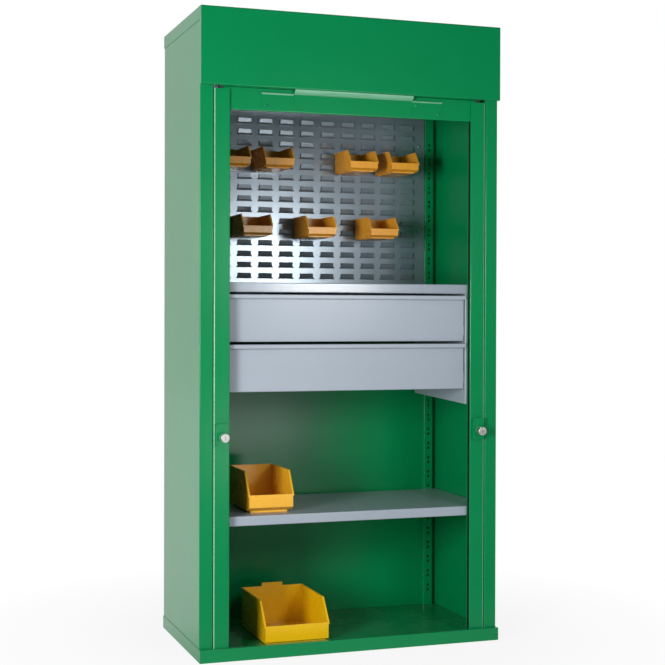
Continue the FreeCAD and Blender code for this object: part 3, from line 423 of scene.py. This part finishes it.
def slat_tree():
    """Crowned slats: one flat-backed section, shaped from a tube, repeated up a line."""
    tree, given, out = geometry_tree("shutter_slats", [
        ("Half Width", "NodeSocketFloat", 0.4),
        ("Front", "NodeSocketFloat", 0.0),
        ("Back", "NodeSocketFloat", 0.01),
        ("Crown", "NodeSocketFloat", slat_groove),
        ("Gap", "NodeSocketFloat", slat_gap),
        ("Pitch", "NodeSocketFloat", slat_pitch),
        ("First Height", "NodeSocketFloat", 0.0),
        ("Count", "NodeSocketInt", 10),
        ("Finish", "NodeSocketMaterial", None),
    ])
    tube = node(tree, "GeometryNodeMeshCylinder", {"Vertices": 24, "Radius": 1.0, "Depth": 2.0})
    place = node(tree, "ShaderNodeSeparateXYZ", {0: node(tree, "GeometryNodeInputPosition").outputs[0]})
    turn = math_node(tree, "ARCTAN2", place.outputs["Y"], place.outputs["X"])
    in_front = math_node(tree, "GREATER_THAN", turn, -0.001)
    wave = math_node(tree, "POWER", math_node(tree, "ABSOLUTE", math_node(tree, "SINE", turn)), 0.6)
    groove = math_node(tree, "ADD", given["Front"], given["Crown"])
    crown = math_node(tree, "SUBTRACT", groove, math_node(tree, "MULTIPLY", given["Crown"], wave))
    depth_front = math_node(tree, "MULTIPLY", in_front, crown)
    behind = math_node(tree, "SUBTRACT", 1.0, in_front)
    depth = math_node(tree, "ADD", depth_front, math_node(tree, "MULTIPLY", behind, given["Back"]))
    half = math_node(tree, "MULTIPLY", given["Pitch"], 0.5)
    lip = math_node(tree, "MULTIPLY", math_node(tree, "MULTIPLY", given["Gap"], 0.5), in_front)
    reach = math_node(tree, "SUBTRACT", half, lip)
    wide = math_node(tree, "MULTIPLY", math_node(tree, "COSINE", turn), 1.06)
    wide = math_node(tree, "MAXIMUM", math_node(tree, "MINIMUM", wide, 1.0), -1.0)
    height = math_node(tree, "MULTIPLY", wide, reach)
    across = math_node(tree, "MULTIPLY", place.outputs["Z"], given["Half Width"])
    shaped = node(tree, "GeometryNodeSetPosition", {
        "Geometry": tube.outputs["Mesh"], "Position": vector_xyz(tree, across, depth, height),
    })
    first = math_node(tree, "ADD", given["First Height"], half)
    column = node(tree, "GeometryNodeMeshLine", {
        "Count": given["Count"],
        "Start Location": vector_xyz(tree, 0.0, 0.0, first),
        "Offset": vector_xyz(tree, 0.0, 0.0, given["Pitch"]),
    })
    stack = node(tree, "GeometryNodeInstanceOnPoints", {
        "Points": column.outputs[0], "Instance": shaped.outputs[0],
    })
    solid = node(tree, "GeometryNodeRealizeInstances", {"Geometry": stack.outputs[0]})
    finished = node(tree, "GeometryNodeSetMaterial", {
        "Geometry": solid.outputs[0], "Material": given["Finish"],
    })
    tree.links.new(finished.outputs[0], out.inputs[0])
    return tree


def rest_height(closed, top, bottom, travel):
    """The height at rest of a point that the blend carries to this height when the shutter is down."""
    low, high = bottom, top
    for _ in range(60):
        middle = (low + high) / 2
        t = (top - middle) / (top - bottom)
        share = t * t * (3 - 2 * t)
        if middle - share * travel < closed:
            low = middle
        else:
            high = middle
    return (low + high) / 2


def outward(mesh):
    """Normals of a closed mesh turned outwards."""
    shape = bmesh.new()
    shape.from_mesh(mesh)
    bmesh.ops.recalc_face_normals(shape, faces=shape.faces)
    shape.to_mesh(mesh)
    shape.free()


def make_curtain():
    """The curtain between the roll and the rail, as slats placed at their rest heights."""
    low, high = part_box("curtain_drop")
    travel = next(j for j in frame["joints"] if j["name"] == "shutter_slide")["range_m"][1]
    start, end = high.z, low.z
    base = end - travel
    count = round((start - base) / slat_pitch)
    mesh = grown_mesh("slatted_curtain", slat_tree(), {
        "Half Width": high.x,
        "Front": low.y,
        "Back": high.y,
        "Pitch": (start - base) / count,
        "First Height": base,
        "Count": count,
        "Finish": green,
    })
    for vertex in mesh.vertices:
        closed = min(max(vertex.co.z, base), start)
        vertex.co.z = rest_height(closed, start, end, travel)
    outward(mesh)
    made = bpy.data.objects.new("slatted_curtain", mesh)
    scene.collection.objects.link(made)
    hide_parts("curtain_drop")
    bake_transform(made)
    return made


# Moulded and folded pieces with their edges eased


def eased(name, body, width):
    """A copy of a piece with its edges rounded by a small width, standing for it."""
    mesh = nodes[name].data.copy()
    shape = bmesh.new()
    shape.from_mesh(mesh)
    bmesh.ops.remove_doubles(shape, verts=shape.verts, dist=0.000005)
    bmesh.ops.dissolve_limit(shape, angle_limit=math.radians(1.0), verts=shape.verts, edges=shape.edges)
    shape.to_mesh(mesh)
    shape.free()
    made = bpy.data.objects.new(name + "_eased", mesh)
    scene.collection.objects.link(made)
    bevel = made.modifiers.new("ease", "BEVEL")
    bevel.width = width
    bevel.segments = 2
    bevel.limit_method = "ANGLE"
    bevel.angle_limit = math.radians(35)
    shown = made.evaluated_get(bpy.context.evaluated_depsgraph_get())
    plain_mesh = bpy.data.meshes.new_from_object(shown)
    made.modifiers.clear()
    made.data = plain_mesh
    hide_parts(name)
    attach(made, body)
    return made


def press_spring(side):
    """A push lock's return spring: a copy held on the carcass, its rear end on its seat."""
    name = f"lock_spring_{side}"
    made = bpy.data.objects.new(name + "_coil", nodes[name].data.copy())
    scene.collection.objects.link(made)
    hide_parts(name)
    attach(made, "carcass")
    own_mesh(made)
    return made


make_curtain()
for side in ("left", "right"):
    press_spring(side)
hanging_bins = [f"upper_bin_{k}" for k in (1, 2, 3, 4)] + [f"lower_bin_{k}" for k in (1, 2, 3)]
bins = hanging_bins + ["shelf_bin", "floor_bin"]
for name in bins:
    eased(name, name, bin_ease)
eased("rail_grip", "shutter", grip_ease)
eased("latch_plates", "shutter", latch_ease)
for name in ("guide_left", "guide_right"):
    eased(name, "carcass", guide_ease)


# Stage, light and camera


def make_floor():
    """A pale floor, white to the camera and behind the cabinet in gloss, that keeps the cabinet's shadow."""
    mesh = bpy.data.meshes.new("floor")
    corners = [(x * floor_half, y * floor_half, 0) for x, y in ((-1, -1), (1, -1), (1, 1), (-1, 1))]
    mesh.from_pydata(corners, [], [(0, 1, 2, 3)])
    made = bpy.data.objects.new("floor", mesh)
    scene.collection.objects.link(made)
    material, tree, shader = new_material("pale_floor")
    shader.inputs["Base Color"].default_value = (floor_tone, floor_tone, floor_tone, 1.0)
    shader.inputs["Roughness"].default_value = floor_rough
    where = node(tree, "ShaderNodeTexCoord").outputs["Object"]
    away = node(tree, "ShaderNodeVectorMath", {0: where}, operation="LENGTH").outputs["Value"]
    forward = node(tree, "ShaderNodeSeparateXYZ", {0: where}).outputs["Y"]
    path = node(tree, "ShaderNodeLightPath")
    direct = math_node(tree, "MAXIMUM", path.outputs["Is Camera Ray"], path.outputs["Is Transmission Ray"])
    seen = math_node(tree, "MAXIMUM", direct, path.outputs["Is Glossy Ray"])
    level = math_node(tree, "MAXIMUM", direct, ramp(tree, forward, -0.9, 0.3, floor_gloss_front, 1.0))
    glow = node(tree, "ShaderNodeEmission", {"Color": (1, 1, 1, 1), "Strength": level})
    shade = ramp(tree, away, floor_shade_start, floor_shade_end, floor_shade_share, 1.0)
    share = math_node(tree, "MULTIPLY", seen, shade)
    both = node(tree, "ShaderNodeMixShader", {0: share, 1: shader.outputs[0], 2: glow.outputs[0]})
    surface = next(n for n in tree.nodes if n.type == "OUTPUT_MATERIAL").inputs["Surface"]
    tree.links.new(both.outputs[0], surface)
    mesh.materials.append(material)
    return made


def make_world():
    """Soft even light. The camera sees white; gloss sees a white backdrop and a dim room in front."""
    world = bpy.data.worlds.new("studio")
    scene.world = world
    world.use_nodes = True
    tree = world.node_tree
    tree.nodes.clear()
    path = node(tree, "ShaderNodeLightPath")
    way = node(tree, "ShaderNodeSeparateXYZ", {0: node(tree, "ShaderNodeTexCoord").outputs["Generated"]})
    backdrop = ramp(tree, way.outputs["Y"], -0.35, 0.15, backdrop_front, backdrop_rear)
    gloss = math_node(tree, "MULTIPLY", path.outputs["Is Glossy Ray"], backdrop)
    shown = math_node(tree, "MAXIMUM", path.outputs["Is Camera Ray"], path.outputs["Is Transmission Ray"])
    lit = math_node(tree, "SUBTRACT", 1.0, math_node(tree, "MAXIMUM", shown, path.outputs["Is Glossy Ray"]))
    ambient = math_node(tree, "MULTIPLY", lit, ambient_level)
    strength = math_node(tree, "ADD", math_node(tree, "MAXIMUM", shown, gloss), ambient)
    background = node(tree, "ShaderNodeBackground", {"Color": (1, 1, 1, 1), "Strength": strength})
    out = node(tree, "ShaderNodeOutputWorld")
    tree.links.new(background.outputs[0], out.inputs["Surface"])


def area_light(name, place, target, size, power):
    """A soft rectangular light turned to a point."""
    data = bpy.data.lights.new(name, "AREA")
    data.shape = "RECTANGLE"
    data.size, data.size_y = size
    data.energy = power
    made = bpy.data.objects.new(name, data)
    made.visible_camera = False
    made.location = place
    made.rotation_euler = (Vector(target) - Vector(place)).to_track_quat("-Z", "Y").to_euler()
    scene.collection.objects.link(made)
    return made


def make_camera():
    """The camera at the photograph's place and angle."""
    data = bpy.data.cameras.new("camera")
    data.sensor_width = 36.0
    data.lens = camera_lens
    data.shift_x, data.shift_y = camera_shift
    data.clip_end = 60.0
    made = bpy.data.objects.new("camera", data)
    yaw, pitch, roll = (math.radians(a) for a in (camera_yaw, camera_pitch, camera_roll))
    ahead = Vector((math.sin(yaw) * math.cos(pitch), math.cos(yaw) * math.cos(pitch), math.sin(pitch)))
    level = Vector((math.cos(yaw), -math.sin(yaw), 0))
    over = level.cross(ahead)
    right = math.cos(roll) * level + math.sin(roll) * over
    up = -math.sin(roll) * level + math.cos(roll) * over
    made.matrix_world = Matrix.Translation(camera_place) @ Matrix((right, up, -ahead)).transposed().to_4x4()
    scene.collection.objects.link(made)
    scene.camera = made


make_floor()
make_world()
# Each lamp's place, the point that it faces, its size and its power
area_light("key", (-2.9, -2.6, 1.15), (0, 0, 1.0), (1.0, 1.2), 104)
area_light("front", (0.66, -2.5, 1.38), (-0.15, 0.24, 1.3), (0.46, 0.46), 12)
area_light("low", (0.58, -2.6, 0.41), (-0.25, 0.24, 1.7), (0.66, 0.15), 3.8)
make_camera()

scene.view_settings.view_transform = "Standard"
